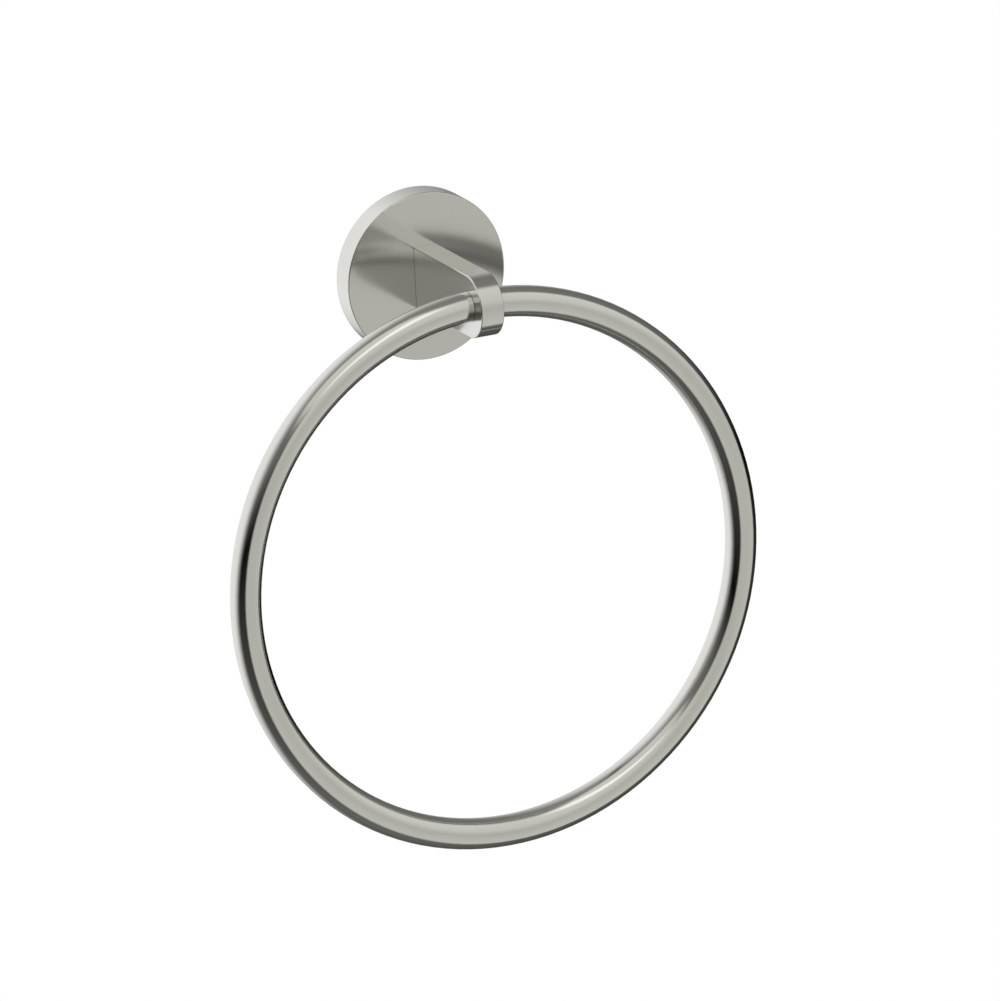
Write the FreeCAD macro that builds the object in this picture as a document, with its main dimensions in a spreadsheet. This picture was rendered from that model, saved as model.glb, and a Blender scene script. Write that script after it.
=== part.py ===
import FreeCAD, Part
import os

import Sketcher
from FreeCAD import Placement, Rotation, Vector

# Towel ring: a round wall rosette, a flat arm with a half-round nose, and a tube ring that swings on a pin
# through the nose. The origin is the centre of the rosette's back, in the plane of the wall.
# +Z is up, +Y goes into the wall and the object stands out from the wall along -Y. Lengths are millimetres.

doc = FreeCAD.newDocument("towel_ring")

# Driving dimensions
sizes = doc.addObject("Spreadsheet::Sheet", "Sizes")
DIMENSIONS = (
    ("rosette_diameter", 55.0, "outside of the round rosette"),
    ("rosette_depth", 8.7, "wall to the rosette's front face"),
    ("rosette_face", 3.0, "thickness of the rosette's front"),
    ("rosette_rim", 3.5, "thickness of the rosette's rim, which holds the set screw's thread"),
    ("rosette_round", 0.4, "rounding of the rosette's front edge"),
    ("arm_reach", 39.5, "rosette's front face to the pivot axis"),
    ("arm_height", 20.5, "height of the flat arm and diameter of its nose"),
    ("arm_thickness", 8.0, "thickness of the flat arm"),
    ("arm_round", 0.4, "rounding of the arm's long edges"),
    ("arm_end_chamfer", 0.15, "chamfer round the arm's end on the rosette"),
    ("ring_diameter", 184.5, "outside of the ring"),
    ("tube_diameter", 10.0, "outside of the ring's tube"),
    ("tube_wall", 1.0, "wall of the ring's tube"),
    ("ring_end_clearance", 0.1, "each end of the ring to the arm's side"),
    ("plug_length", 12.0, "slug in each end of the tube, measured along its middle"),
    ("pin_diameter", 5.0, "pivot pin, pressed into the arm"),
    ("pin_engagement", 4.5, "length of the pin that stands out of each side of the arm"),
    ("pin_chamfer", 0.5, "chamfer of the pin's ends"),
    ("pivot_clearance", 0.05, "radial running clearance of the slugs on the pin"),
    ("pin_end_clearance", 0.5, "pin's end to the bottom of its bore"),
    ("plate_thickness", 4.5, "wall plate"),
    ("plate_flare", 1.5, "radius of the plate's front edge over that of its back edge"),
    ("plate_clearance", 0.25, "radial clearance of the wall plate in the rosette"),
    ("wall_hole_spacing", 30.0, "between the two wall screw holes"),
    ("wall_hole_diameter", 4.5, "wall screw holes"),
    ("wall_hole_mouth", 8.5, "mouth of the wall screw holes' countersinks"),
    ("arm_screw_spacing", 12.0, "between the two screws in the arm's end"),
    ("arm_screw_diameter", 4.0, "thread of the arm screws"),
    ("arm_screw_head", 8.0, "head of the arm screws"),
    ("arm_screw_grip", 8.0, "depth of the arm screws in the arm"),
    ("arm_screw_lead", 0.5, "chamfer at the arm screws' ends"),
    ("arm_screw_socket", 2.5, "across the flats of the arm screws' hexagon sockets"),
    ("arm_screw_socket_depth", 1.6, "depth of the arm screws' sockets"),
    ("screw_hole_clearance", 0.2, "radial clearance of the arm screws in the rosette"),
    ("screw_head_clearance", 0.05, "clearance under the arm screws' heads, along the screw"),
    ("thread_clearance", 0.05, "radial clearance of a screw in its tapped hole"),
    ("tapped_run_out", 1.5, "tapped hole past the end of its screw"),
    ("set_screw_diameter", 4.0, "thread of the set screw"),
    ("set_screw_height", 2.9, "wall to the set screw's axis"),
    ("set_screw_recess", 0.4, "set screw's outer end below the rim's surface"),
    ("set_screw_point", 2.0, "flat at the end of the set screw's cone point"),
    ("set_screw_cone", 1.0, "length of the cone point"),
    ("set_screw_gap", 0.1, "cone point to the wall plate's edge"),
    ("set_screw_socket", 2.0, "across the flats of the set screw's hexagon socket"),
    ("set_screw_socket_depth", 1.6, "depth of the set screw's socket"),
)
for row, (alias, millimetres, meaning) in enumerate(DIMENSIONS, start=1):
    sizes.set(f"A{row}", meaning)
    sizes.set(f"B{row}", str(millimetres))
    sizes.setAlias(f"B{row}", alias)
doc.recompute()

# Places and sizes that follow from the driving dimensions, as expressions of the sheet
ROSETTE_RADIUS = "(Sizes.rosette_diameter / 2)"
CUP_RADIUS = f"({ROSETTE_RADIUS} - Sizes.rosette_rim)"
CUP_DEPTH = "(Sizes.rosette_depth - Sizes.rosette_face)"
PLATE_RADIUS = f"({CUP_RADIUS} - Sizes.plate_clearance)"
PLATE_BACK_RADIUS = f"({PLATE_RADIUS} - Sizes.plate_flare)"
PIVOT_FROM_WALL = "(Sizes.rosette_depth + Sizes.arm_reach)"
RING_RADIUS = "((Sizes.ring_diameter - Sizes.tube_diameter) / 2)"
TUBE_BORE_RADIUS = "(Sizes.tube_diameter / 2 - Sizes.tube_wall)"

# The ring's ends are cut parallel to the sides of the arm. Their centres lie on the pivot axis, which sets how far
# the ring's centre is below it.
RING_END_OFFSET = "(Sizes.arm_thickness / 2 + Sizes.ring_end_clearance)"
RING_END_ANGLE = f"asin({RING_END_OFFSET} / {RING_RADIUS})"
RING_DROP = f"({RING_RADIUS} * cos({RING_END_ANGLE}))"


def number(expression):
    """The present value of an expression of the sheet."""
    found = sizes.evalExpression(expression)
    return float(getattr(found, "Value", found))


def new_body(name, x="0", y="0", z="0", rotation=Rotation()):
    """An empty body whose own origin is placed by expressions of the sheet."""
    body = doc.addObject("PartDesign::Body", name)
    body.Label = name
    body.Placement = Placement(Vector(number(x), number(y), number(z)), rotation)
    body.setExpression(".Placement.Base.x", x)
    body.setExpression(".Placement.Base.y", y)
    body.setExpression(".Placement.Base.z", z)
    return body


def new_sketch(body, role, name, above="0"):
    """A sketch on one of the body's origin planes, or above it by an expression of the sheet."""
    plane = next(feature for feature in body.Origin.OriginFeatures if feature.Role == role)
    sketch = body.newObject("Sketcher::SketchObject", name)
    sketch.AttachmentSupport = [(plane, "")]
    sketch.MapMode = "FlatFace"
    sketch.AttachmentOffset = Placement(Vector(0, 0, number(above)), Rotation())
    sketch.setExpression(".AttachmentOffset.Base.z", above)
    return sketch


def tie_point(sketch, geometry, vertex, x, y):
    """Ties a point of a sketch to expressions of the sheet. An offset of "0" puts it on the sketch's axis."""
    for constraint, axis, offset in (("DistanceX", -2, x), ("DistanceY", -1, y)):
        if offset == "0":
            sketch.addConstraint(Sketcher.Constraint("PointOnObject", geometry, vertex, axis))
        else:
            place = Sketcher.Constraint(constraint, -1, 1, geometry, vertex, number(offset))
            sketch.setExpression(f"Constraints[{sketch.addConstraint(place)}]", offset)


def add_outline(sketch, corners):
    """A closed outline of straight lines through corners, each given as two expressions of the sheet."""
    points = [Vector(number(x), number(y), 0) for x, y in corners]
    ends = points[1:] + points[:1]
    lines = [sketch.addGeometry(Part.LineSegment(*pair)) for pair in zip(points, ends)]
    for line, following in zip(lines, lines[1:] + lines[:1]):
        sketch.addConstraint(Sketcher.Constraint("Coincident", line, 2, following, 1))
    for line, (x, y) in zip(lines, corners):
        tie_point(sketch, line, 1, x, y)


def add_circle(sketch, x, y, radius):
    centre = Vector(number(x), number(y), 0)
    circle = sketch.addGeometry(Part.Circle(centre, Vector(0, 0, 1), number(radius)))
    tie_point(sketch, circle, 3, x, y)
    size = sketch.addConstraint(Sketcher.Constraint("Radius", circle, number(radius)))
    sketch.setExpression(f"Constraints[{size}]", radius)


def add_hexagon(sketch, across_flats):
    """A hexagon round the sketch's origin, with two corners on the horizontal axis."""
    flat = f"({across_flats} / 2)"
    far = f"({across_flats} / sqrt(3))"
    near = f"({across_flats} / sqrt(12))"
    upper = ((far, "0"), (near, flat), (f"-{near}", flat))
    lower = ((f"-{far}", "0"), (f"-{near}", f"-{flat}"), (near, f"-{flat}"))
    add_outline(sketch, upper + lower)


def add_feature(body, kind, name, profile, driven, **settings):
    """A feature made from a sketch. driven holds the sizes that are expressions of the sheet."""
    feature = body.newObject(f"PartDesign::{kind}", name)
    feature.Profile = profile
    if kind == "Hole":
        doc.recompute()
    for setting, value in settings.items():
        setattr(feature, setting, value)
    for setting, expression in driven.items():
        feature.setExpression(setting, expression)
    doc.recompute()
    return feature


def dress_edges(body, kind, name, size, driven, chosen):
    """A fillet or chamfer on the edges of the body's present shape for which chosen(edge) is true."""
    base = body.Tip
    edges = [f"Edge{count}" for count, edge in enumerate(base.Shape.Edges, start=1) if chosen(edge)]
    dressing = body.newObject(f"PartDesign::{kind}", name)
    dressing.Base = (base, edges)
    dressing.setExpression(size, driven)
    doc.recompute()


def turn(body, name, corners, plane="YZ_Plane", axis="H_Axis"):
    """A full turn of an outline round one of its sketch's axes."""
    section = new_sketch(body, plane, f"{name}_section")
    add_outline(section, corners)
    add_feature(body, "Revolution", name, section, {}, ReferenceAxis=(section, [axis]), Angle=360.0)


def cut_mouth(body):
    """Takes the arm's place at the top of the ring, with a clearance on each side, out of a body of the ring."""
    opening = new_sketch(body, "XZ_Plane", "mouth_outline")
    low = f"{RING_RADIUS} - Sizes.tube_diameter"
    high = f"{RING_RADIUS} + Sizes.tube_diameter"
    left = f"-{RING_END_OFFSET}"
    add_outline(opening, ((left, low), (RING_END_OFFSET, low), (RING_END_OFFSET, high), (left, high)))
    add_feature(body, "Pocket", "mouth", opening, {}, Type="ThroughAll", Midplane=True)


# Wall plate: a turned disc that two countersunk screws hold flat on the wall. Its edge flares towards the front,
# so the cone point of the set screw draws the rosette back against the wall.
wall_plate = new_body("wall_plate")
turn(
    wall_plate,
    "plate",
    (
        ("0", "0"),
        ("0", PLATE_BACK_RADIUS),
        ("-Sizes.plate_thickness", PLATE_RADIUS),
        ("-Sizes.plate_thickness", "0"),
    ),
)
wall_hole_places = new_sketch(wall_plate, "XZ_Plane", "wall_hole_places", above="Sizes.plate_thickness")
for side in ("", "-"):
    add_circle(wall_hole_places, f"{side}Sizes.wall_hole_spacing / 2", "0", "Sizes.wall_hole_diameter / 2")
add_feature(
    wall_plate,
    "Hole",
    "wall_holes",
    wall_hole_places,
    {"Diameter": "Sizes.wall_hole_diameter", "HoleCutDiameter": "Sizes.wall_hole_mouth"},
    DepthType="ThroughAll",
    HoleCutType="Countersink",
    HoleCutCountersinkAngle=90.0,
)

# Rosette: a turned cup with a flat front. The arm's screws come from inside it and sink flush into its front,
# and the set screw goes up through the underside of its rim.
rosette = new_body("rosette")
turn(
    rosette,
    "cup",
    (
        ("0", CUP_RADIUS),
        ("0", ROSETTE_RADIUS),
        ("-Sizes.rosette_depth", ROSETTE_RADIUS),
        ("-Sizes.rosette_depth", "0"),
        (f"-{CUP_DEPTH}", "0"),
        (f"-{CUP_DEPTH}", CUP_RADIUS),
    ),
)
front_edge = number("-Sizes.rosette_depth")
dress_edges(
    rosette,
    "Fillet",
    "front_round",
    "Radius",
    "Sizes.rosette_round",
    lambda edge: abs(edge.BoundBox.YMax - front_edge) < 1e-6 and edge.BoundBox.YLength < 1e-6,
)
arm_screw_places = new_sketch(rosette, "XZ_Plane", "arm_screw_places", above=CUP_DEPTH)
for side in ("", "-"):
    add_circle(arm_screw_places, "0", f"{side}Sizes.arm_screw_spacing / 2", "Sizes.arm_screw_diameter / 2")
add_feature(
    rosette,
    "Hole",
    "arm_screw_holes",
    arm_screw_places,
    {
        "Diameter": "Sizes.arm_screw_diameter + 2 * Sizes.screw_hole_clearance",
        "HoleCutDiameter": "Sizes.arm_screw_head + 2 * Sizes.screw_head_clearance",
    },
    DepthType="ThroughAll",
    HoleCutType="Countersink",
    HoleCutCountersinkAngle=90.0,
    Reversed=True,
)
set_screw_place = new_sketch(rosette, "XY_Plane", "set_screw_place")
add_circle(set_screw_place, "0", "-Sizes.set_screw_height", "Sizes.set_screw_diameter / 2")
add_feature(
    rosette,
    "Hole",
    "set_screw_hole",
    set_screw_place,
    {"Diameter": "Sizes.set_screw_diameter + 2 * Sizes.thread_clearance"},
    DepthType="ThroughAll",
)

# Set screw: a headless screw with a hexagon socket outside and a cone point inside. Its length brings the point
# to the flared edge of the wall plate, measured at the front corner of the point, where the edge is nearest.
FLARE_AT_POINT = "Sizes.plate_flare / Sizes.plate_thickness * (Sizes.set_screw_height + Sizes.set_screw_point / 2)"
SET_SCREW_START = f"({ROSETTE_RADIUS} - Sizes.set_screw_recess)"
SET_SCREW_LENGTH = f"({SET_SCREW_START} - {PLATE_BACK_RADIUS} - {FLARE_AT_POINT} - Sizes.set_screw_gap)"
rosette_set_screw = new_body("rosette_set_screw", y="-Sizes.set_screw_height", z=f"-{SET_SCREW_START}")
turn(
    rosette_set_screw,
    "threaded_rod",
    (
        ("0", "0"),
        ("Sizes.set_screw_diameter / 2", "0"),
        ("Sizes.set_screw_diameter / 2", f"{SET_SCREW_LENGTH} - Sizes.set_screw_cone"),
        ("Sizes.set_screw_point / 2", SET_SCREW_LENGTH),
        ("0", SET_SCREW_LENGTH),
    ),
    plane="XZ_Plane",
    axis="V_Axis",
)
set_screw_hexagon = new_sketch(rosette_set_screw, "XY_Plane", "hexagon")
add_hexagon(set_screw_hexagon, "Sizes.set_screw_socket")
add_feature(
    rosette_set_screw,
    "Pocket",
    "socket",
    set_screw_hexagon,
    {"Length": "Sizes.set_screw_socket_depth"},
    Reversed=True,
)

# Arm: a flat bar on edge, its end rounded to a half circle about the pivot axis. The long edges are lightly
# rounded, and a fine chamfer leaves a dark line all round where the arm meets the rosette. A cross bore holds the
# pivot pin and two tapped holes take the screws from the rosette.
arm = new_body("arm", y="-Sizes.rosette_depth")
arm_outline = new_sketch(arm, "YZ_Plane", "arm_outline")
half_height = number("Sizes.arm_height / 2")
nose_centre = Vector(number("-Sizes.arm_reach"), 0, 0)
nose_top = nose_centre + Vector(0, half_height, 0)
nose_bottom = nose_centre - Vector(0, half_height, 0)
root_top = Vector(0, half_height, 0)
root_bottom = Vector(0, -half_height, 0)
top = arm_outline.addGeometry(Part.LineSegment(root_top, nose_top))
nose = arm_outline.addGeometry(Part.Arc(nose_top, nose_centre - Vector(half_height, 0, 0), nose_bottom))
bottom = arm_outline.addGeometry(Part.LineSegment(nose_bottom, root_bottom))
root = arm_outline.addGeometry(Part.LineSegment(root_bottom, root_top))
arm_outline.addConstraint(Sketcher.Constraint("Tangent", top, 2, nose, 1))
arm_outline.addConstraint(Sketcher.Constraint("Tangent", nose, 2, bottom, 1))
arm_outline.addConstraint(Sketcher.Constraint("Coincident", bottom, 2, root, 1))
arm_outline.addConstraint(Sketcher.Constraint("Coincident", root, 2, top, 1))
arm_outline.addConstraint(Sketcher.Constraint("Horizontal", bottom))
tie_point(arm_outline, top, 1, "0", "Sizes.arm_height / 2")
tie_point(arm_outline, top, 2, "-Sizes.arm_reach", "Sizes.arm_height / 2")
tie_point(arm_outline, root, 1, "0", "-Sizes.arm_height / 2")
add_feature(arm, "Pad", "bar", arm_outline, {"Length": "Sizes.arm_thickness"}, Midplane=True)
dress_edges(
    arm,
    "Fillet",
    "edge_round",
    "Radius",
    "Sizes.arm_round",
    lambda edge: edge.BoundBox.XLength < 1e-6 < edge.BoundBox.YLength,
)
dress_edges(
    arm,
    "Chamfer",
    "end_chamfer",
    "Size",
    "Sizes.arm_end_chamfer",
    lambda edge: abs(edge.BoundBox.YMax) < 1e-6 and edge.BoundBox.YLength < 1e-6,
)
pin_bore_circle = new_sketch(arm, "YZ_Plane", "pin_bore_circle")
add_circle(pin_bore_circle, "-Sizes.arm_reach", "0", "Sizes.pin_diameter / 2")
add_feature(arm, "Pocket", "pin_bore", pin_bore_circle, {}, Type="ThroughAll", Midplane=True)
tapped_hole_places = new_sketch(arm, "XZ_Plane", "tapped_hole_places")
for side in ("", "-"):
    add_circle(tapped_hole_places, "0", f"{side}Sizes.arm_screw_spacing / 2", "Sizes.arm_screw_diameter / 2")
add_feature(
    arm,
    "Hole",
    "tapped_holes",
    tapped_hole_places,
    {
        "Diameter": "Sizes.arm_screw_diameter + 2 * Sizes.thread_clearance",
        "Depth": "Sizes.arm_screw_grip + Sizes.tapped_run_out",
    },
    DepthType="Dimension",
    DrillPoint="Angled",
    DrillPointAngle=118.0,
    Reversed=True,
)

# Arm screws: countersunk socket screws, one above the other. Each body's own +Z runs from the head to the end.
ARM_SCREW_LENGTH = "(Sizes.rosette_face + Sizes.arm_screw_grip)"
for name, side in (("arm_screw_upper", ""), ("arm_screw_lower", "-")):
    screw = new_body(
        name,
        y=f"-{CUP_DEPTH}",
        z=f"{side}Sizes.arm_screw_spacing / 2",
        rotation=Rotation(Vector(1, 0, 0), 90),
    )
    turn(
        screw,
        "screw",
        (
            ("0", "0"),
            ("Sizes.arm_screw_head / 2", "0"),
            ("Sizes.arm_screw_diameter / 2", "(Sizes.arm_screw_head - Sizes.arm_screw_diameter) / 2"),
            ("Sizes.arm_screw_diameter / 2", f"{ARM_SCREW_LENGTH} - Sizes.arm_screw_lead"),
            ("Sizes.arm_screw_diameter / 2 - Sizes.arm_screw_lead", ARM_SCREW_LENGTH),
            ("0", ARM_SCREW_LENGTH),
        ),
        plane="XZ_Plane",
        axis="V_Axis",
    )
    hexagon = new_sketch(screw, "XY_Plane", "hexagon")
    add_hexagon(hexagon, "Sizes.arm_screw_socket")
    add_feature(
        screw,
        "Pocket",
        "socket",
        hexagon,
        {"Length": "Sizes.arm_screw_socket_depth"},
        Reversed=True,
    )

# Pivot pin: pressed through the arm's nose, its chamfered ends standing out alike on both sides.
pivot_pin = new_body("pivot_pin", y=f"-{PIVOT_FROM_WALL}")
pin_circle = new_sketch(pivot_pin, "YZ_Plane", "pin_circle")
add_circle(pin_circle, "0", "0", "Sizes.pin_diameter / 2")
PIN_LENGTH = "Sizes.arm_thickness + 2 * Sizes.pin_engagement"
add_feature(pivot_pin, "Pad", "pin", pin_circle, {"Length": PIN_LENGTH}, Midplane=True)
dress_edges(
    pivot_pin,
    "Chamfer",
    "end_chamfers",
    "Size",
    "Sizes.pin_chamfer",
    lambda edge: edge.BoundBox.XLength < 1e-6,
)

# Ring: a round tube bent to a circle parallel to the wall, with the arm's place cut out at the top. Its body's
# origin is the circle's centre, and the turn starts from the bottom of the ring.
ring_tube = new_body("ring_tube", y=f"-{PIVOT_FROM_WALL}", z=f"-{RING_DROP}")
tube_section = new_sketch(ring_tube, "YZ_Plane", "tube_section")
for radius in ("Sizes.tube_diameter / 2", TUBE_BORE_RADIUS):
    add_circle(tube_section, "0", f"-{RING_RADIUS}", radius)
add_feature(
    ring_tube,
    "Revolution",
    "bent_tube",
    tube_section,
    {},
    ReferenceAxis=(tube_section, ["H_Axis"]),
    Angle=360.0,
)
cut_mouth(ring_tube)

# Ring end plugs: slugs that fill the two ends of the tube flush and take its curve. Each has a blind bore on the
# pivot axis that runs on the pin, so the ring swings about the centre of the arm's nose. A plug's turn starts at
# the top of the ring, and the arm's place is cut out of it as it is out of the tube.
for name, to_right in (("ring_end_plug_left", False), ("ring_end_plug_right", True)):
    plug = new_body(name, y=f"-{PIVOT_FROM_WALL}", z=f"-{RING_DROP}")
    slug_section = new_sketch(plug, "YZ_Plane", "slug_section")
    add_circle(slug_section, "0", RING_RADIUS, TUBE_BORE_RADIUS)
    add_feature(
        plug,
        "Revolution",
        "slug",
        slug_section,
        {"Angle": f"{RING_END_ANGLE} + Sizes.plug_length / {RING_RADIUS} * 1 rad"},
        ReferenceAxis=(slug_section, ["H_Axis"]),
        Reversed=not to_right,
    )
    cut_mouth(plug)
    bore_circle = new_sketch(plug, "YZ_Plane", "bore_circle")
    add_circle(bore_circle, "0", RING_DROP, "Sizes.pin_diameter / 2 + Sizes.pivot_clearance")
    add_feature(
        plug,
        "Pocket",
        "pin_bore",
        bore_circle,
        {"Length": "Sizes.arm_thickness / 2 + Sizes.pin_engagement + Sizes.pin_end_clearance"},
        Reversed=to_right,
    )

# Nothing is written unless every feature was made and every body is one sound solid.
doc.recompute()
failed = [item.Label for item in doc.Objects if {"Invalid", "Error"} & set(item.State)]
if failed:
    raise RuntimeError(f"these objects failed: {', '.join(failed)}")
os.makedirs("parts", exist_ok=True)
bodies = [item for item in doc.Objects if item.TypeId == "PartDesign::Body"]
for body in bodies:
    if body.Shape.isNull() or not body.Shape.isValid() or len(body.Shape.Solids) != 1:
        raise RuntimeError(f"{body.Label} is not one sound solid")
for body in bodies:
    body.Shape.exportStep(f"parts/{body.Label}.step")
    print(f"{body.Label}: {body.Shape.Volume:.1f} cubic millimetres")
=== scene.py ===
import math

import bpy
from mathutils import Matrix, Vector


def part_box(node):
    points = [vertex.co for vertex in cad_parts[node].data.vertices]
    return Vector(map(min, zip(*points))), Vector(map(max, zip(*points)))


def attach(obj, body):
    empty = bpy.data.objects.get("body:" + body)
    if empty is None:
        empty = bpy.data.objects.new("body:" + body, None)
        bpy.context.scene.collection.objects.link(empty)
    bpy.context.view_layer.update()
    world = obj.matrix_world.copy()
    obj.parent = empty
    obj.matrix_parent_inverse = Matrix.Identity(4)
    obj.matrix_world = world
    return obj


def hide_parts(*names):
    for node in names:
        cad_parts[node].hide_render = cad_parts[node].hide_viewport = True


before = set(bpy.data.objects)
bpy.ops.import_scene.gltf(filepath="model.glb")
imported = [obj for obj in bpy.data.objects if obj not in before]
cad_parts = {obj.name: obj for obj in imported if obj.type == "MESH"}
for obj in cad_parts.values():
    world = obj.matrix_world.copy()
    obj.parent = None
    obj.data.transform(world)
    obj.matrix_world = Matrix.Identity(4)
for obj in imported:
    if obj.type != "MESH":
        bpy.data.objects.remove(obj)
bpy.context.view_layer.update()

# Camera
# The photo is a long-lens product picture with no perspective: the ring's near and far sides measure alike.
# It looks at the object from its left and from above, with the camera tipped a little on its axis.
PHOTO_WIDTH, PHOTO_HEIGHT = 1000, 1001
PIXELS_PER_METRE = 3140.5
CAMERA_AZIMUTH = math.radians(-24.57)
CAMERA_ELEVATION = math.radians(16.14)
CAMERA_ROLL = math.radians(-3.01)
CAMERA_DISTANCE = 0.6
CAMERA_REACH = 20
# The place in the ring's plane that lies in the middle of the photo
MIDDLE_X, MIDDLE_Z = 0.00357, -0.06563

pin_low, pin_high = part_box("pivot_pin")
pivot = (pin_low + pin_high) / 2
looked_at = Vector((MIDDLE_X, pivot.y, MIDDLE_Z))
towards_camera = Vector(
    (
        math.sin(CAMERA_AZIMUTH) * math.cos(CAMERA_ELEVATION),
        -math.cos(CAMERA_AZIMUTH) * math.cos(CAMERA_ELEVATION),
        math.sin(CAMERA_ELEVATION),
    )
)
camera_data = bpy.data.cameras.new("camera")
camera_data.type = "ORTHO"
camera_data.ortho_scale = max(PHOTO_WIDTH, PHOTO_HEIGHT) / PIXELS_PER_METRE
camera_data.clip_end = CAMERA_REACH
camera = bpy.data.objects.new("camera", camera_data)
camera.location = looked_at + towards_camera * CAMERA_DISTANCE
camera.rotation_euler = (-towards_camera).to_track_quat("-Z", "Y").to_euler()
camera.rotation_euler.rotate_axis("Z", CAMERA_ROLL)
bpy.context.scene.collection.objects.link(camera)
bpy.context.scene.camera = camera

# Wall plate
# The disc that is screwed to the wall and carries the rosette: turned steel with bright zinc plate and a
# clear blue passivation. Its turning marks run round the axis, under a faint cloudiness from the bath.
ZINC_PALE = "#cfd3d6"
ZINC_DULL = "#bcc1c6"
ZINC_CLOUD_SIZE = 0.009
ZINC_ROUGHNESS = (0.26, 0.36)
ZINC_RELIEF = (0.5, 0.00002)
TURNING_FEED = 0.00025
TURNING_LENGTH = 0.02
# The noise of tool marks keeps mostly between these two levels.
MARKS_LOW, MARKS_HIGH = 0.3, 0.7


def linear_colour(hex_code):
    """An sRGB hex colour as the linear red, green, blue and alpha that the shaders take."""
    channels = [int(hex_code[start : start + 2], 16) / 255 for start in (1, 3, 5)]
    linear = [c / 12.92 if c <= 0.04045 else ((c + 0.055) / 1.055) ** 2.4 for c in channels]
    return (*linear, 1.0)


def add_node(tree, kind, settings=None, **inputs):
    """A node of a tree with its settings. An input is a plain value or the socket that feeds it. It is
    given by its name, with _ for a space, or by _ and its number."""
    node = tree.nodes.new(kind)
    for setting, value in (settings or {}).items():
        setattr(node, setting, value)
    for name, value in inputs.items():
        socket = node.inputs[int(name[1:])] if name[1:].isdigit() else node.inputs[name.replace("_", " ")]
        if isinstance(value, bpy.types.NodeSocket):
            tree.links.new(value, socket)
        else:
            socket.default_value = value
    return node


def new_finish(name):
    """An empty material, its tree and the place on the piece that its pattern follows, in metres."""
    finish = bpy.data.materials.new(name)
    finish.use_nodes = True
    finish.node_tree.nodes.clear()
    place = add_node(finish.node_tree, "ShaderNodeTexCoord").outputs["Object"]
    return finish, finish.node_tree, place


def out_from_the_y_axis(tree, place):
    """A place's parts along X, Y and Z, and its distance from the Y axis."""
    parts = add_node(tree, "ShaderNodeSeparateXYZ", Vector=place).outputs
    flat = add_node(tree, "ShaderNodeCombineXYZ", X=parts["X"], Y=parts["Z"]).outputs[0]
    radius = add_node(tree, "ShaderNodeVectorMath", {"operation": "LENGTH"}, _0=flat).outputs["Value"]
    return parts, radius


def round_the_y_axis(tree, place):
    """The lay of marks turned round the Y axis: along them, then across them by radius and by depth."""
    parts, radius = out_from_the_y_axis(tree, place)
    turn = add_node(
        tree, "ShaderNodeMath", {"operation": "ARCTAN2"}, _0=parts["Z"], _1=parts["X"]
    ).outputs[0]
    along = add_node(tree, "ShaderNodeMath", {"operation": "MULTIPLY"}, _0=turn, _1=radius).outputs[0]
    return add_node(tree, "ShaderNodeCombineXYZ", X=along, Y=radius, Z=parts["Y"]).outputs[0]


def tool_marks(tree, lay, length, pitch):
    """Fine marks along a lay, 0 to 1: each as long and as wide as the two real sizes, in metres."""
    stretched = add_node(
        tree,
        "ShaderNodeVectorMath",
        {"operation": "MULTIPLY"},
        _0=lay,
        _1=(1 / length, 1 / pitch, 1 / pitch),
    ).outputs[0]
    return add_node(
        tree, "ShaderNodeTexNoise", Vector=stretched, Scale=1.0, Detail=2.0, Roughness=0.6
    ).outputs["Fac"]


def metal_surface(tree, marks, tint, colours, roughness, relief):
    """Bare or plated metal. The tint leads from one colour to the other, and the marks from the smoothest
    roughness to the roughest. They also raise the relief, given by its strength and height in metres."""
    tone = add_node(
        tree,
        "ShaderNodeMix",
        {"data_type": "RGBA"},
        _0=tint,
        _6=linear_colour(colours[0]),
        _7=linear_colour(colours[1]),
    ).outputs[2]
    gloss = add_node(
        tree,
        "ShaderNodeMapRange",
        _0=marks,
        _1=MARKS_LOW,
        _2=MARKS_HIGH,
        _3=roughness[0],
        _4=roughness[1],
    ).outputs[0]
    raised = add_node(
        tree, "ShaderNodeBump", Height=marks, Strength=relief[0], Distance=relief[1]
    ).outputs[0]
    shader = add_node(
        tree, "ShaderNodeBsdfPrincipled", Base_Color=tone, Metallic=1.0, Roughness=gloss, Normal=raised
    ).outputs[0]
    add_node(tree, "ShaderNodeOutputMaterial", Surface=shader)


zinc, tree, place = new_finish("bright_zinc_plated_turned_steel")
marks = tool_marks(tree, round_the_y_axis(tree, place), TURNING_LENGTH, TURNING_FEED)
cloud = add_node(
    tree, "ShaderNodeTexNoise", Vector=place, Scale=1 / ZINC_CLOUD_SIZE, Detail=3.0
).outputs["Fac"]
metal_surface(tree, marks, cloud, (ZINC_PALE, ZINC_DULL), ZINC_ROUGHNESS, ZINC_RELIEF)
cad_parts["wall_plate"].material_slots[0].material = zinc

# Rosette
# The round cup that hides the wall plate: turned from bar, polished and plated in satin nickel. Polishing
# wheels leave a fine lay round its axis, so faint that it still mirrors the arm and only softens it.
NICKEL_PALE = "#e0e0dc"
NICKEL_DEEP = "#dddcd8"
NICKEL_TONE_SIZE = 0.014
NICKEL_RELIEF = (0.7, 0.000002)
# The real lay is about 0.05 mm wide, under a fifth of a pixel, and is drawn three times as coarse to show.
POLISH_PITCH = 0.00015
POLISH_LENGTH = 0.006
# The roughness of the polish: the turned rosette is a little less smooth than the bar and the tube.
TURNED_POLISH = (0.128, 0.158)
FINE_POLISH = (0.105, 0.135)


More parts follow.
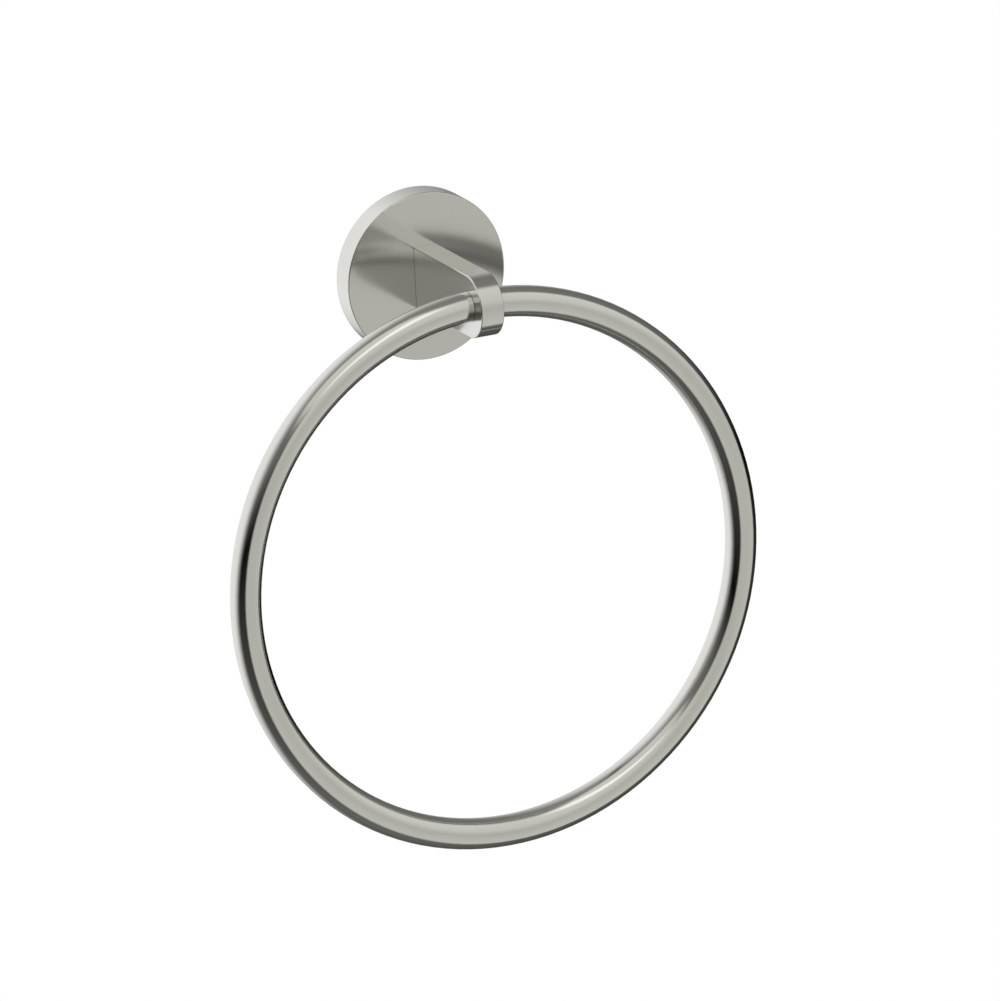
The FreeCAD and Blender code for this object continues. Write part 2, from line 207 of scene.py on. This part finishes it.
def satin_nickel(name, lay_of_polish, roughness):
    """Satin nickel plate on a piece. lay_of_polish turns a place into along and across the polishing."""
    nickel, tree, place = new_finish(name)
    polish = tool_marks(tree, lay_of_polish(tree, place), POLISH_LENGTH, POLISH_PITCH)
    plating = add_node(
        tree, "ShaderNodeTexNoise", Vector=place, Scale=1 / NICKEL_TONE_SIZE, Detail=2.0
    ).outputs["Fac"]
    metal_surface(tree, polish, plating, (NICKEL_PALE, NICKEL_DEEP), roughness, NICKEL_RELIEF)
    return nickel


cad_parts["rosette"].material_slots[0].material = satin_nickel(
    "satin_nickel_polished_round", round_the_y_axis, TURNED_POLISH
)

# Screws
# The set screw in the rosette's rim and the two countersunk screws into the arm: M4 stainless steel with
# hexagon sockets and rolled threads. The source has them without threads, so each is made here with one.
SCREW_STEEL = "#c9c7c2"
SCREW_STEEL_DARK = "#b5b3ae"
SCREW_ROUGHNESS = (0.22, 0.32)
SCREW_RELIEF = (0.4, 0.000004)
WIRE_MARK_WIDTH = 0.0002
WIRE_MARK_LENGTH = 0.0012
THREAD_PITCH = 0.0007
THREAD_CREST = 0.00198
THREAD_ROOT = 0.00157
# The corners of the thread's section: out from the root, where 1 is the crest, and along in pitches
RIDGE_CORNERS = ((-0.1, -0.44), (1.0, -0.08), (1.0, 0.08), (-0.1, 0.44))
# The thread fades out over so many turns at each end, down to so much of its height.
FADED_TURNS = 0.5
FADED_HEIGHT = 0.05
SCREW_SIDES = 64
STEPS_PER_TURN = 40
SHARP_CORNER = math.radians(25)
SOCKET_DEPTH = 0.0016
# Of each screw: across the flats of its socket, radius and height of its head and of its point, and how
# much of its length is bare before and behind the thread. The set screw's head is only a lead.
SET_SCREW_FLATS = 0.002
SET_SCREW_HEAD = (THREAD_ROOT - 0.0002, 0.0002)
SET_SCREW_POINT = (0.001, 0.0006)
SET_SCREW_BARE = (0.0005, 0.0012)
ARM_SCREW_FLATS = 0.0025
ARM_SCREW_HEAD = (0.00398, 0.00398 - THREAD_ROOT)
ARM_SCREW_POINT = (THREAD_ROOT - 0.0003, 0.0004)
ARM_SCREW_BARE = (0.0028, 0.0008)
SCREW_INPUTS = (
    "Length",
    "Head Radius",
    "Head Height",
    "Point Radius",
    "Point Height",
    "Crest Radius",
    "Root Radius",
    "Pitch",
    "Thread Start",
    "Thread Length",
    "Socket Radius",
    "Socket Depth",
)

steel, tree, place = new_finish("rolled_stainless_steel")
marks = tool_marks(tree, place, WIRE_MARK_LENGTH, WIRE_MARK_WIDTH)
metal_surface(tree, marks, marks, (SCREW_STEEL, SCREW_STEEL_DARK), SCREW_ROUGHNESS, SCREW_RELIEF)

screw_tree = bpy.data.node_groups.new("threaded_screw", "GeometryNodeTree")
for name in SCREW_INPUTS:
    screw_tree.interface.new_socket(name=name, in_out="INPUT", socket_type="NodeSocketFloat")
screw_tree.interface.new_socket(name="Screw", in_out="OUTPUT", socket_type="NodeSocketGeometry")
size = add_node(screw_tree, "NodeGroupInput").outputs

# The body of the screw: a head, a core as thick as the thread's root and a point, all on one axis
head = add_node(
    screw_tree,
    "GeometryNodeMeshCone",
    Vertices=SCREW_SIDES,
    Radius_Bottom=size["Head Radius"],
    Radius_Top=size["Root Radius"],
    Depth=size["Head Height"],
).outputs["Mesh"]
core_end = add_node(
    screw_tree, "ShaderNodeMath", {"operation": "SUBTRACT"}, _0=size["Length"], _1=size["Point Height"]
).outputs[0]
core = add_node(
    screw_tree,
    "GeometryNodeMeshCylinder",
    Vertices=SCREW_SIDES,
    Radius=size["Root Radius"],
    Depth=core_end,
).outputs["Mesh"]
core_middle = add_node(
    screw_tree, "ShaderNodeMath", {"operation": "MULTIPLY"}, _0=core_end, _1=0.5
).outputs[0]
core_place = add_node(screw_tree, "ShaderNodeCombineXYZ", Z=core_middle).outputs[0]
core = add_node(screw_tree, "GeometryNodeTransform", Geometry=core, Translation=core_place).outputs[0]
point = add_node(
    screw_tree,
    "GeometryNodeMeshCone",
    Vertices=SCREW_SIDES,
    Radius_Bottom=size["Root Radius"],
    Radius_Top=size["Point Radius"],
    Depth=size["Point Height"],
).outputs["Mesh"]
point_place = add_node(screw_tree, "ShaderNodeCombineXYZ", Z=core_end).outputs[0]
point = add_node(screw_tree, "GeometryNodeTransform", Geometry=point, Translation=point_place).outputs[0]
solid = add_node(screw_tree, "GeometryNodeMeshBoolean", {"operation": "UNION", "solver": "EXACT"})
for part in (head, core, point):
    screw_tree.links.new(part, solid.inputs[1])

# The socket: a hexagonal bar taken out of the head. Half of the bar stands outside.
bar_length = add_node(
    screw_tree, "ShaderNodeMath", {"operation": "MULTIPLY"}, _0=size["Socket Depth"], _1=2.0
).outputs[0]
bar = add_node(
    screw_tree, "GeometryNodeMeshCylinder", Vertices=6, Radius=size["Socket Radius"], Depth=bar_length
).outputs["Mesh"]
socketed = add_node(
    screw_tree,
    "GeometryNodeMeshBoolean",
    {"operation": "DIFFERENCE", "solver": "EXACT"},
    _0=solid.outputs["Mesh"],
    _1=bar,
).outputs["Mesh"]

# The thread: a flat-topped right-hand ridge, carried up the core on a spiral and faded out at both ends
turns = add_node(
    screw_tree, "ShaderNodeMath", {"operation": "DIVIDE"}, _0=size["Thread Length"], _1=size["Pitch"]
).outputs[0]
spiral = add_node(
    screw_tree,
    "GeometryNodeCurveSpiral",
    Resolution=STEPS_PER_TURN,
    Rotations=turns,
    Start_Radius=size["Root Radius"],
    End_Radius=size["Root Radius"],
    Height=size["Thread Length"],
    Reverse=True,
).outputs["Curve"]
upright = add_node(
    screw_tree, "GeometryNodeSetCurveNormal", {"mode": "Z_UP"}, Curve=spiral
).outputs["Curve"]
share = add_node(screw_tree, "GeometryNodeSplineParameter").outputs["Factor"]
from_start = add_node(
    screw_tree, "ShaderNodeMath", {"operation": "MULTIPLY"}, _0=share, _1=turns
).outputs[0]
from_end = add_node(
    screw_tree, "ShaderNodeMath", {"operation": "SUBTRACT"}, _0=turns, _1=from_start
).outputs[0]
nearest_end = add_node(
    screw_tree, "ShaderNodeMath", {"operation": "MINIMUM"}, _0=from_start, _1=from_end
).outputs[0]
fade = add_node(
    screw_tree, "ShaderNodeMapRange", _0=nearest_end, _1=0.0, _2=FADED_TURNS, _3=FADED_HEIGHT, _4=1.0
).outputs[0]
ridge_height = add_node(
    screw_tree, "ShaderNodeMath", {"operation": "SUBTRACT"}, _0=size["Crest Radius"], _1=size["Root Radius"]
).outputs[0]
corners = []
for outwards, along in RIDGE_CORNERS:
    corner_x = add_node(
        screw_tree, "ShaderNodeMath", {"operation": "MULTIPLY"}, _0=ridge_height, _1=outwards
    ).outputs[0]
    corner_y = add_node(
        screw_tree, "ShaderNodeMath", {"operation": "MULTIPLY"}, _0=size["Pitch"], _1=along
    ).outputs[0]
    corners.append(add_node(screw_tree, "ShaderNodeCombineXYZ", X=corner_x, Y=corner_y).outputs[0])
ridge = add_node(
    screw_tree,
    "GeometryNodeCurvePrimitiveQuadrilateral",
    {"mode": "POINTS"},
    Point_1=corners[0],
    Point_2=corners[1],
    Point_3=corners[2],
    Point_4=corners[3],
).outputs["Curve"]
thread = add_node(
    screw_tree, "GeometryNodeCurveToMesh", Curve=upright, Profile_Curve=ridge, Scale=fade, Fill_Caps=True
).outputs["Mesh"]
thread_place = add_node(screw_tree, "ShaderNodeCombineXYZ", Z=size["Thread Start"]).outputs[0]
thread = add_node(screw_tree, "GeometryNodeTransform", Geometry=thread, Translation=thread_place).outputs[0]

# The whole screw, smooth but for its sharp corners
whole = add_node(screw_tree, "GeometryNodeJoinGeometry")
for part in (thread, socketed):
    screw_tree.links.new(part, whole.inputs[0])
rounded = add_node(screw_tree, "GeometryNodeSetShadeSmooth", {"domain": "FACE"}, Geometry=whole.outputs[0])
corner_angle = add_node(screw_tree, "GeometryNodeInputMeshEdgeAngle").outputs["Unsigned Angle"]
at_a_corner = add_node(
    screw_tree, "FunctionNodeCompare", {"operation": "GREATER_THAN"}, _0=corner_angle, _1=SHARP_CORNER
).outputs[0]
crisp = add_node(
    screw_tree,
    "GeometryNodeSetShadeSmooth",
    {"domain": "EDGE"},
    Geometry=rounded.outputs[0],
    Selection=at_a_corner,
    Shade_Smooth=False,
)
real = add_node(screw_tree, "GeometryNodeRealizeInstances", Geometry=crisp.outputs[0]).outputs[0]
finished = add_node(screw_tree, "GeometryNodeSetMaterial", Geometry=real, Material=steel).outputs[0]
add_node(screw_tree, "NodeGroupOutput", Screw=finished)


def make_screw(name, node, length, flats, head, point, bare, place):
    """A threaded screw in place of a plain one of the source. Its own +Z runs from socket to point."""
    sizes = {
        "Length": length,
        "Head Radius": head[0],
        "Head Height": head[1],
        "Point Radius": point[0],
        "Point Height": point[1],
        "Crest Radius": THREAD_CREST,
        "Root Radius": THREAD_ROOT,
        "Pitch": THREAD_PITCH,
        "Thread Start": bare[0],
        "Thread Length": length - bare[0] - bare[1],
        "Socket Radius": flats / math.sqrt(3),
        "Socket Depth": SOCKET_DEPTH,
    }
    maker = bpy.data.objects.new(f"{name}_maker", bpy.data.meshes.new(name))
    bpy.context.scene.collection.objects.link(maker)
    modifier = maker.modifiers.new("screw", "NODES")
    modifier.node_group = screw_tree
    for item in screw_tree.interface.items_tree:
        if item.in_out == "INPUT":
            modifier[item.identifier] = sizes[item.name]
    evaluated = maker.evaluated_get(bpy.context.evaluated_depsgraph_get())
    mesh = bpy.data.meshes.new_from_object(evaluated)
    bpy.data.objects.remove(maker)
    mesh.name = name
    mesh.transform(place)
    screw = bpy.data.objects.new(name, mesh)
    bpy.context.scene.collection.objects.link(screw)
    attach(screw, "bracket")
    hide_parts(node)


low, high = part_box("rosette_set_screw")
axis = (low + high) / 2
make_screw(
    "threaded_set_screw",
    "rosette_set_screw",
    length=high.z - low.z,
    flats=SET_SCREW_FLATS,
    head=SET_SCREW_HEAD,
    point=SET_SCREW_POINT,
    bare=SET_SCREW_BARE,
    place=Matrix.Translation((axis.x, axis.y, low.z)),
)
for side in ("upper", "lower"):
    low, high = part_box(f"arm_screw_{side}")
    axis = (low + high) / 2
    make_screw(
        f"threaded_arm_screw_{side}",
        f"arm_screw_{side}",
        length=high.y - low.y,
        flats=ARM_SCREW_FLATS,
        head=ARM_SCREW_HEAD,
        point=ARM_SCREW_POINT,
        bare=ARM_SCREW_BARE,
        place=Matrix.Translation((axis.x, high.y, axis.z)) @ Matrix.Rotation(math.pi / 2, 4, "X"),
    )

# Arm
# A flat metal bar on edge with a half-round nose, polished along its length and plated like the rosette.
# Two screws from inside the rosette hold it, and only a hairline shows where the two meet.


def lengthwise_y(tree, place):
    """The lay of marks that run along Y."""
    parts = add_node(tree, "ShaderNodeSeparateXYZ", Vector=place).outputs
    return add_node(tree, "ShaderNodeCombineXYZ", X=parts["Y"], Y=parts["X"], Z=parts["Z"]).outputs[0]


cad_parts["arm"].material_slots[0].material = satin_nickel(
    "satin_nickel_polished_lengthwise", lengthwise_y, FINE_POLISH
)

# Pivot pin
# A stainless steel dowel, ground round and pressed through the arm's nose. Grinding leaves a fine lay round
# its axis and a bright surface. The ring's two ends turn on it.
PIN_STEEL = "#cdccc9"
PIN_STEEL_DARK = "#c1c0bd"
PIN_ROUGHNESS = (0.14, 0.22)
PIN_RELIEF = (0.4, 0.000002)
GRINDING_PITCH = 0.0001
GRINDING_LENGTH = 0.002

pin_steel, tree, place = new_finish("ground_stainless_steel")
parts = add_node(tree, "ShaderNodeSeparateXYZ", Vector=place).outputs
round_the_pin = add_node(tree, "ShaderNodeCombineXYZ", X=parts["Z"], Y=parts["X"], Z=parts["Y"]).outputs[0]
marks = tool_marks(tree, round_the_pin, GRINDING_LENGTH, GRINDING_PITCH)
metal_surface(tree, marks, marks, (PIN_STEEL, PIN_STEEL_DARK), PIN_ROUGHNESS, PIN_RELIEF)
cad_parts["pivot_pin"].material_slots[0].material = pin_steel

# Ring
# A bent metal tube of 10 mm, with a slug soldered into each end and bored for the pin. It is polished along
# the tube after bending and plated as one, so tube and slugs share a finish whose lay follows the ring.
ring_low, ring_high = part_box("ring_tube")
TUBE_RADIUS = (ring_high.y - ring_low.y) / 2
RING_RADIUS = (ring_high.x - ring_low.x) / 2 - TUBE_RADIUS
ring_centre = Vector((0, pivot.y, ring_low.z + TUBE_RADIUS + RING_RADIUS))


def along_the_ring(tree, place):
    """The lay of marks that follow the bent tube: along it, then across it by radius and by depth."""
    centred = add_node(tree, "ShaderNodeMapping", Vector=place, Location=tuple(-ring_centre)).outputs[0]
    parts, radius = out_from_the_y_axis(tree, centred)
    turn = add_node(
        tree, "ShaderNodeMath", {"operation": "ARCTAN2"}, _0=parts["X"], _1=parts["Z"]
    ).outputs[0]
    along = add_node(tree, "ShaderNodeMath", {"operation": "MULTIPLY"}, _0=turn, _1=RING_RADIUS).outputs[0]
    return add_node(tree, "ShaderNodeCombineXYZ", X=along, Y=radius, Z=parts["Y"]).outputs[0]


ring_nickel = satin_nickel("satin_nickel_polished_along_the_tube", along_the_ring, FINE_POLISH)
for name in ("ring_tube", "ring_end_plug_left", "ring_end_plug_right"):
    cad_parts[name].material_slots[0].material = ring_nickel

# Floor
# A round table of pale painted board, well below the object. The camera sees it plain white, like the
# photo's ground, so no shadow shows on it. Reflections pass through it: the darker ground that the metal
# mirrors belongs to the studio.
FLOOR_HEIGHT = -0.95
FLOOR_RADIUS = 0.55
FLOOR_SIDES = 96
FLOOR_PAINT = "#e8e7e3"
FLOOR_PAINT_DULL = "#e2e1dc"
FLOOR_PAINT_ROUGHNESS = 0.85
FLOOR_MOTTLES_PER_METRE = 12.0

corners = []
for side in range(FLOOR_SIDES):
    turn = math.tau * side / FLOOR_SIDES
    corners.append((FLOOR_RADIUS * math.cos(turn), FLOOR_RADIUS * math.sin(turn), FLOOR_HEIGHT))
floor_mesh = bpy.data.meshes.new("floor")
floor_mesh.from_pydata(corners, [], [list(range(FLOOR_SIDES))])
floor = bpy.data.objects.new("floor", floor_mesh)
bpy.context.scene.collection.objects.link(floor)

paint, tree, place = new_finish("matt_painted_board")
mottle = add_node(
    tree, "ShaderNodeTexNoise", Vector=place, Scale=FLOOR_MOTTLES_PER_METRE, Detail=3.0
).outputs["Fac"]
tone = add_node(
    tree,
    "ShaderNodeMix",
    {"data_type": "RGBA"},
    _0=mottle,
    _6=linear_colour(FLOOR_PAINT),
    _7=linear_colour(FLOOR_PAINT_DULL),
).outputs[2]
board = add_node(
    tree, "ShaderNodeBsdfPrincipled", Base_Color=tone, Roughness=FLOOR_PAINT_ROUGHNESS
).outputs[0]
path = add_node(tree, "ShaderNodeLightPath").outputs
seen_white = add_node(
    tree, "ShaderNodeEmission", Color=(1, 1, 1, 1), Strength=path["Is Camera Ray"]
).outputs[0]
lit_board = add_node(tree, "ShaderNodeAddShader", _0=board, _1=seen_white).outputs[0]
clear = add_node(tree, "ShaderNodeBsdfTransparent").outputs[0]
table = add_node(tree, "ShaderNodeMixShader", _0=path["Is Glossy Ray"], _1=lit_board, _2=clear).outputs[0]
add_node(tree, "ShaderNodeOutputMaterial", Surface=table)
floor_mesh.materials.append(paint)

# Studio
# A dark room with three large soft lights, read from what the metal in the photo mirrors: a white sheet
# behind on the left, a round light overhead and a tall light in front on the right. A dark card stands
# before the sheet's far lower edge. The camera sees plain white.

# Angles are in degrees. Squareness is 2 for an ellipse and more for a squarer outline, softness is how far
# the edge spreads, and gain is how much brighter the right edge is than the middle.
SOFT_SHAPES = {
    "white_sheet": {
        "azimuth": -147.7,
        "elevation": 5.2,
        "tilt": -25.0,
        "half_width": 58.3,
        "half_height": 55.4,
        "squareness": 2.06,
        "softness": 0.49,
        "gain": 0.0,
    },
    "overhead_light": {
        "azimuth": -26.3,
        "elevation": 57.9,
        "tilt": 2.0,
        "half_width": 25.8,
        "half_height": 27.0,
        "squareness": 1.75,
        "softness": 0.22,
        "gain": 0.0,
    },
    "front_light": {
        "azimuth": 27.8,
        "elevation": 1.2,
        "tilt": 5.5,
        "half_width": 53.4,
        "half_height": 66.3,
        "squareness": 3.1,
        "softness": 0.13,
        "gain": 0.10,
    },
    "dark_card": {
        "azimuth": -214.0,
        "elevation": -46.0,
        "tilt": 0.0,
        "half_width": 22.0,
        "half_height": 38.0,
        "squareness": 3.0,
        "softness": 0.35,
        "gain": 0.0,
    },
}
# Brightness, where 1 is white. The sheet has one level in reflections and one as it lights matt surfaces.
LAMP_LEVELS = {"overhead_light": (0.522, 0.522, 0.493), "front_light": (0.551, 0.551, 0.517)}
SHEET_MIRRORED, SHEET_AS_LAMP = 0.97, 0.9
CARD_SHADE = 0.76
# The room is dark at the horizon and greyer towards the ceiling and the ground. These are the levels at the
# horizon and straight up or down, the elevations between which the ground gives way to the ceiling, the
# room's own upward direction, which leans a little to the object's right, and the warm tint of its walls.
CEILING_LEVEL = (0.120, 0.270)
GROUND_LEVEL = (0.0, 0.168)
ROOM_EDGE = (math.radians(-3.0), math.radians(20.0))
ROOM_UP = (0.0637, 0.0284, 0.9976)
ROOM_TINT = (1.0, 1.0, 0.96)

studio = bpy.data.worlds.new("studio")
bpy.context.scene.world = studio
studio.use_nodes = True
tree = studio.node_tree
tree.nodes.clear()
towards = add_node(tree, "ShaderNodeTexCoord").outputs["Generated"]

# The walls of the room
height = add_node(
    tree, "ShaderNodeVectorMath", {"operation": "DOT_PRODUCT"}, _0=towards, _1=ROOM_UP
).outputs["Value"]
elevation = add_node(tree, "ShaderNodeMath", {"operation": "ARCSINE"}, _0=height).outputs[0]
ceiling = add_node(
    tree,
    "ShaderNodeMapRange",
    _0=elevation,
    _1=0.0,
    _2=math.pi / 2,
    _3=CEILING_LEVEL[0],
    _4=CEILING_LEVEL[1],
).outputs[0]
ground = add_node(
    tree,
    "ShaderNodeMapRange",
    _0=elevation,
    _1=ROOM_EDGE[0],
    _2=-math.pi / 2,
    _3=GROUND_LEVEL[0],
    _4=GROUND_LEVEL[1],
).outputs[0]
above = add_node(tree, "ShaderNodeMapRange", _0=elevation, _1=ROOM_EDGE[0], _2=ROOM_EDGE[1]).outputs[0]
walls = add_node(tree, "ShaderNodeMix", {"data_type": "FLOAT"}, _0=above, _2=ground, _3=ceiling).outputs[0]
light = add_node(tree, "ShaderNodeVectorMath", {"operation": "SCALE"}, _0=ROOM_TINT, Scale=walls).outputs[0]

# How much of each soft shape lies in a direction: full inside its outline and nothing outside it
reach = {}
for name, shape in SOFT_SHAPES.items():
    faced = add_node(
        tree,
        "ShaderNodeMapping",
        {"vector_type": "TEXTURE"},
        Vector=towards,
        Rotation=(math.radians(-shape["elevation"]), 0, math.radians(shape["azimuth"])),
    ).outputs[0]
    levelled = add_node(
        tree,
        "ShaderNodeMapping",
        {"vector_type": "TEXTURE"},
        Vector=faced,
        Rotation=(0, math.radians(shape["tilt"]), 0),
    ).outputs[0]
    parts = add_node(tree, "ShaderNodeSeparateXYZ", Vector=levelled).outputs
    front = add_node(tree, "ShaderNodeMath", {"operation": "MULTIPLY"}, _0=parts["Y"], _1=-1.0).outputs[0]
    across = add_node(tree, "ShaderNodeMath", {"operation": "ARCTAN2"}, _0=parts["X"], _1=front).outputs[0]
    upwards = add_node(tree, "ShaderNodeMath", {"operation": "ARCSINE"}, _0=parts["Z"]).outputs[0]
    half_width = math.radians(shape["half_width"])
    half_height = math.radians(shape["half_height"])
    powers = []
    for angle, half in ((across, half_width), (upwards, half_height)):
        share = add_node(tree, "ShaderNodeMath", {"operation": "DIVIDE"}, _0=angle, _1=half).outputs[0]
        positive = add_node(tree, "ShaderNodeMath", {"operation": "ABSOLUTE"}, _0=share).outputs[0]
        power = add_node(
            tree, "ShaderNodeMath", {"operation": "POWER"}, _0=positive, _1=shape["squareness"]
        ).outputs[0]
        powers.append(power)
    both = add_node(tree, "ShaderNodeMath", {"operation": "ADD"}, _0=powers[0], _1=powers[1]).outputs[0]
    out_from_centre = add_node(
        tree, "ShaderNodeMath", {"operation": "POWER"}, _0=both, _1=1 / shape["squareness"]
    ).outputs[0]
    full = add_node(
        tree, "ShaderNodeMapRange", _0=across, _1=0.0, _2=half_width, _3=1.0, _4=1 + shape["gain"]
    ).outputs[0]
    reach[name] = add_node(
        tree,
        "ShaderNodeMapRange",
        {"interpolation_type": "SMOOTHSTEP"},
        _0=out_from_centre,
        _1=1 - shape["softness"],
        _2=1 + shape["softness"],
        _3=full,
        _4=0.0,
    ).outputs[0]

# The lamps, on top of the walls
for name, colour in LAMP_LEVELS.items():
    lamp = add_node(
        tree, "ShaderNodeVectorMath", {"operation": "SCALE"}, _0=colour, Scale=reach[name]
    ).outputs[0]
    light = add_node(tree, "ShaderNodeVectorMath", {"operation": "ADD"}, _0=light, _1=lamp).outputs[0]
room = add_node(tree, "ShaderNodeBackground", Color=light).outputs[0]
white = add_node(tree, "ShaderNodeBackground", Color=(1, 1, 1, 1)).outputs[0]

# The white sheet, less what the card hides of it, and the plain white that the camera sees
path = add_node(tree, "ShaderNodeLightPath").outputs
mirrored = add_node(
    tree,
    "ShaderNodeMath",
    {"operation": "MAXIMUM"},
    _0=path["Is Glossy Ray"],
    _1=path["Is Transmission Ray"],
).outputs[0]
sheet_level = add_node(
    tree, "ShaderNodeMix", {"data_type": "FLOAT"}, _0=mirrored, _2=SHEET_AS_LAMP, _3=SHEET_MIRRORED
).outputs[0]
in_the_open = add_node(
    tree, "ShaderNodeMapRange", _0=reach["dark_card"], _1=0.0, _2=1.0, _3=1.0, _4=1 - CARD_SHADE
).outputs[0]
open_sheet = add_node(
    tree, "ShaderNodeMath", {"operation": "MULTIPLY"}, _0=reach["white_sheet"], _1=in_the_open
).outputs[0]
sheet = add_node(
    tree, "ShaderNodeMath", {"operation": "MULTIPLY"}, _0=open_sheet, _1=sheet_level
).outputs[0]
seen_white = add_node(
    tree, "ShaderNodeMath", {"operation": "MAXIMUM"}, _0=path["Is Camera Ray"], _1=sheet
).outputs[0]
seen = add_node(tree, "ShaderNodeMixShader", _0=seen_white, _1=room, _2=white).outputs[0]
add_node(tree, "ShaderNodeOutputWorld", Surface=seen)

bpy.context.scene.view_settings.view_transform = "Standard"
